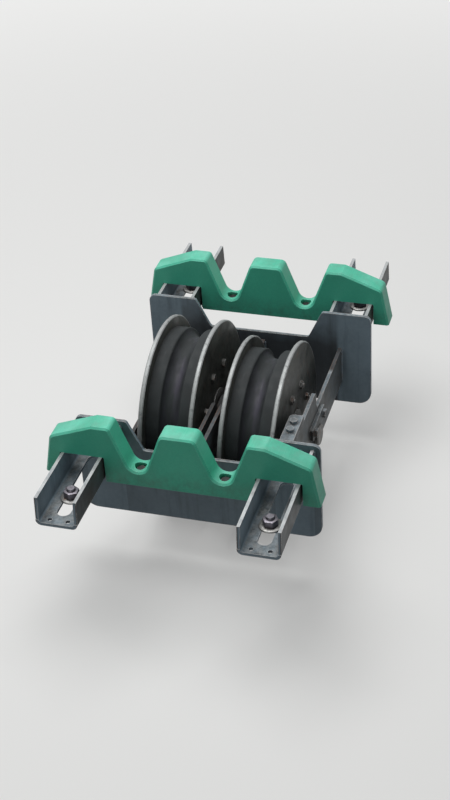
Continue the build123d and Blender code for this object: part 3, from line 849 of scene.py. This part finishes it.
class SHEAVE_UNIT_OT_finish_sheaves(Operator):
    """Finish the flanges, rims, hubs and liners, and add washers and thread tips to the bolts."""

    bl_idname = "sheave_unit.finish_sheaves"
    bl_label = "Finish Sheaves"

    lift = 0.0002           # of a washer over its flange
    sunk = 0.002            # depth of a thread tip's foot in its nut
    tip_edge = 0.0008       # by which a thread tip narrows at its end

    def execute(self, context):
        colours, sizes = context.scene.sheave_unit_colours, context.scene.sheave_unit_sizes
        zinc = zinc_steel(colours, "sheave_bolt_zinc", scaled(colours.zinc, BOLT_PALE), BOLT_RUST)
        for side, outward in SIDES.items():
            dress([f"flange_outer_{side}", f"flange_inner_{side}"], flange_steel(colours, side))
            dress([f"liner_{side}"], liner_rubber(colours, side))
            dress([f"hub_{side}", f"rim_{side}"], cast_alloy(colours, side))
            dress([f"sheave_bolts_{side}"], zinc)
            rings, tips = [], []
            for i in range(sizes.bolt_count):
                for face in (1, -1):
                    rings.append(placed(self.ring(sizes), self.on_the_circle(side, i, face, sizes)))
                tips.append(placed(self.tip(sizes), self.on_the_circle(side, i, outward, sizes)))
            mesh = gather(f"bolt_washers_{side}", rings)
            add_piece(f"bolt_washers_{side}", mesh, zinc, f"{side}_sheave")
            mesh = gather(f"bolt_tips_{side}", tips)
            add_piece(f"bolt_tips_{side}", mesh, zinc, f"{side}_sheave")
        return {"FINISHED"}

    def on_the_circle(self, side, i, face, sizes):
        """From a bolt's own Z to its place on a flange's face."""
        turn = Matrix.Rotation(math.tau * i / sizes.bolt_count - sizes.bolt_turn, 4, "Y")
        stand = Matrix.Rotation(math.radians(-90.0 * face), 4, "X")
        out = Matrix.Translation((sizes.bolt_circle, face * FLANGE_FACE, 0.0))
        return Matrix.Translation(CENTRES[side]) @ turn @ out @ stand

    def ring(self, sizes):
        """The washer under a bolt's head or nut."""
        bore, radius, height = sizes.ring_bore, sizes.ring_radius, sizes.ring_height
        return washer(bore, radius, height, shoulder=0.70, segments=24, lift=self.lift)

    def tip(self, sizes):
        """The threaded tip that stands out of a bolt's nut."""
        shape = bmesh.new()
        r, foot, top = sizes.tip_radius, sizes.bolt_nut - self.sunk, sizes.bolt_nut + sizes.tip_height
        side = threads(r, foot + self.sunk / 2, top - self.sunk / 2, sizes.tip_pitch, sizes.tip_depth)
        turned(shape, [(0.0, foot), (r, foot), *side, (r - self.tip_edge, top), (0.0, top)], 20)
        return shape


class SHEAVE_UNIT_OT_finish_axles(Operator):
    """Give the axles their dull steel."""

    bl_idname = "sheave_unit.finish_axles"
    bl_label = "Finish Axles"

    def execute(self, context):
        colours = context.scene.sheave_unit_colours
        steel = zinc_steel(colours, "axle_steel", scaled(colours.zinc, AXLE_PALE), AXLE_RUST)
        dress([f"axle_{side}" for side in SIDES], steel)
        return {"FINISHED"}


class SHEAVE_UNIT_OT_set_anchors(Operator):
    """Set a stud, nut and washer in the slot of each arm."""

    bl_idname = "sheave_unit.set_anchors"
    bl_label = "Set Anchors"

    nut_turn, side_turn, end_turn = 0.4, 0.5, 0.9       # so that no two nuts stand alike
    foot_edge, top_edge = 0.0020, 0.0022                # by which a stud narrows at its ends

    def execute(self, context):
        colours, sizes = context.scene.sheave_unit_colours, context.scene.sheave_unit_sizes
        dark = zinc_steel(colours, "anchor_dark_steel", colours.dark_bolt, ANCHOR_RUST)
        pale = scaled(colours.zinc, WASHER_PALE)
        grey = zinc_steel(colours, "anchor_washer_steel", pale, ANCHOR_RUST)
        studs, nuts, washers = [], [], []
        for end, along in ENDS.items():
            place = getattr(sizes, f"anchor_{end}")
            for i, side in enumerate(SIDES):
                low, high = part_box(f"arm_{end}_{side}")
                at = Matrix.Translation((along * place, (low.y + high.y) / 2, sizes.web_height))
                turn = self.nut_turn + self.side_turn * i + self.end_turn * along
                washers.append(placed(self.washer(sizes), at))
                nuts.append(placed(self.nut(sizes), at @ Matrix.Rotation(turn, 4, "Z")))
                studs.append(placed(self.stud(sizes), at))
        add_piece("anchor_washers", gather("anchor_washers", washers), grey, "frame")
        add_piece("anchor_nuts", gather("anchor_nuts", nuts), dark, "frame")
        add_piece("anchor_studs", gather("anchor_studs", studs), dark, "frame")
        return {"FINISHED"}

    def washer(self, sizes):
        """A washer on the arm's web."""
        bore = sizes.stud_radius + sizes.washer_play
        return washer(bore, sizes.washer_radius, sizes.washer_height, shoulder=0.75, segments=40)

    def nut(self, sizes):
        """A nut on the washer."""
        shape = bmesh.new()
        hexagon(shape, sizes.nut_flats, sizes.nut_height, sizes.nut_edge)
        bmesh.ops.translate(shape, verts=shape.verts, vec=(0, 0, sizes.washer_height))
        return shape

    def stud(self, sizes):
        """A stud from below the arm to above the nut."""
        shape = bmesh.new()
        r, edge = sizes.stud_radius, self.foot_edge
        foot = -sizes.web_height - sizes.stud_below
        top = sizes.washer_height + sizes.nut_height + sizes.stud_proud
        side = threads(r, foot + edge, top - edge, sizes.thread_pitch, sizes.thread_depth)
        turned(shape, [(0.0, foot), (r - edge, foot), *side, (r - self.top_edge, top), (0.0, top)], 32)
        return shape


class SHEAVE_UNIT_OT_set_stage(Operator):
    """Set the floor, the lamps, the even light and the camera."""

    bl_idname = "sheave_unit.set_stage"
    bl_label = "Set Stage"

    def execute(self, context):
        scene, stage = context.scene, context.scene.sheave_unit_stage
        self.floor(stage, scene)
        self.lamp(scene, "key", stage.key_power, stage.key_size, KEY_AT)
        self.lamp(scene, "fill", stage.fill_power, stage.fill_size, FILL_AT)
        self.sky(scene, stage)
        self.camera(scene, stage)
        scene.view_settings.view_transform = "Standard"
        return {"FINISHED"}

    def seen(self, tree):
        """1 for what the camera, a reflection or clear plastic looks at, 0 for light on the unit."""
        rays = tree.nodes.new("ShaderNodeLightPath").outputs
        share = rays["Is Camera Ray"]
        for other in (rays["Is Glossy Ray"], rays["Is Transmission Ray"]):
            larger = tree.nodes.new("ShaderNodeMath")
            larger.operation = "MAXIMUM"
            tree.links.new(share, larger.inputs[0])
            tree.links.new(other, larger.inputs[1])
            share = larger.outputs[0]
        return share

    def floor(self, stage, scene):
        """A pale floor that lights the unit little and fades into the sky."""
        shape = bmesh.new()
        bmesh.ops.create_grid(shape, x_segments=1, y_segments=1, size=stage.floor_size / 2)
        bmesh.ops.translate(shape, verts=shape.verts, vec=(0, 0, CAD_LOW.z - stage.floor_gap))
        mesh = bpy.data.meshes.new("floor")
        shape.to_mesh(mesh)
        shape.free()
        floor = bpy.data.objects.new("floor", mesh)
        scene.collection.objects.link(floor)
        f = Finish("pale_floor")
        seen = self.seen(f.tree)
        f.set("Base Color", f.mix(seen, tuple(stage.floor_bounce), tuple(stage.floor)))
        f.set("Roughness", 0.9)
        f.set("Specular IOR Level", 0.1)
        reach = f.node("ShaderNodeVectorMath", operation="LENGTH")
        f.put(reach.inputs[0], f.place)
        fade = f.node("ShaderNodeMapRange", interpolation_type="SMOOTHSTEP")
        reaches = (reach.outputs["Value"], stage.fade_start, stage.fade_end)
        for socket, value in zip(fade.inputs, (*reaches, stage.floor_glow, stage.far_glow)):
            f.put(socket, value)
        f.set("Emission Color", FLOOR_TINT)
        f.set("Emission Strength", f.times(seen, fade.outputs["Result"]))
        mesh.materials.append(f.material)

    def lamp(self, scene, name, watts, size, at):
        """A square lamp that faces the unit's middle."""
        data = bpy.data.lights.new(name, "AREA")
        data.energy, data.size = watts, size
        lamp = bpy.data.objects.new(name, data)
        lamp.location = at
        lamp.rotation_euler = (-Vector(at)).to_track_quat("-Z", "Y").to_euler()
        scene.collection.objects.link(lamp)

    def sky(self, scene, stage):
        """Weak even light that looks pale to the camera."""
        world = bpy.data.worlds.new("pale_sky")
        scene.world = world
        world.use_nodes = True
        tree = world.node_tree
        background = tree.nodes["Background"]
        background.inputs["Color"].default_value = SKY_TINT
        light = tree.nodes.new("ShaderNodeMapRange")
        tree.links.new(self.seen(tree), light.inputs[0])
        light.inputs["To Min"].default_value = stage.sky
        light.inputs["To Max"].default_value = stage.sky_seen
        tree.links.new(light.outputs[0], background.inputs["Strength"])

    def camera(self, scene, stage):
        """Stands where the photograph was taken from and keeps its roll."""
        at, up = Vector(CAMERA_AT), Vector(CAMERA_UP)
        aim = Vector(CAMERA_AIM) - at
        data = bpy.data.cameras.new("camera")
        data.lens = stage.lens
        camera = bpy.data.objects.new("camera", data)
        back = -aim.normalized()
        right = up.cross(back).normalized()
        turn = Matrix((right, back.cross(right), back)).transposed()
        camera.matrix_world = Matrix.Translation(at) @ turn.to_4x4()
        scene.collection.objects.link(camera)
        scene.camera = camera


class SHEAVE_UNIT_PT_panel(Panel):
    """Sizes, colours and steps of the sheave unit."""

    bl_idname = "SHEAVE_UNIT_PT_panel"
    bl_label = "Twin Rope Sheave Unit"
    bl_space_type = "VIEW_3D"
    bl_region_type = "UI"
    bl_category = "Sheave Unit"

    def draw(self, context):
        for step in STEPS:
            self.layout.operator(step.bl_idname)
        for name in GROUPS:
            box = self.layout.box()
            group = getattr(context.scene, name)
            for key in group.__annotations__:
                box.prop(group, key)


STEPS = (
    SHEAVE_UNIT_OT_paint_frame,
    SHEAVE_UNIT_OT_weld_frame,
    SHEAVE_UNIT_OT_dress_guards,
    SHEAVE_UNIT_OT_finish_sheaves,
    SHEAVE_UNIT_OT_finish_axles,
    SHEAVE_UNIT_OT_set_anchors,
    SHEAVE_UNIT_OT_set_stage,
)
GROUPS = {
    "sheave_unit_sizes": SheaveUnitSizes,
    "sheave_unit_colours": SheaveUnitColours,
    "sheave_unit_stage": SheaveUnitStage,
}


def register():
    for group in GROUPS.values():
        bpy.utils.register_class(group)
    for name, group in GROUPS.items():
        setattr(bpy.types.Scene, name, PointerProperty(type=group))
    for step in (*STEPS, SHEAVE_UNIT_PT_panel):
        bpy.utils.register_class(step)


def unregister():
    for step in (SHEAVE_UNIT_PT_panel, *reversed(STEPS)):
        bpy.utils.unregister_class(step)
    for name, group in GROUPS.items():
        delattr(bpy.types.Scene, name)
        bpy.utils.unregister_class(group)


def main():
    register()
    bpy.ops.sheave_unit.paint_frame()
    bpy.ops.sheave_unit.weld_frame()
    bpy.ops.sheave_unit.dress_guards()
    bpy.ops.sheave_unit.finish_sheaves()
    bpy.ops.sheave_unit.finish_axles()
    bpy.ops.sheave_unit.set_anchors()
    bpy.ops.sheave_unit.set_stage()


if __name__ == "__main__":
    main()
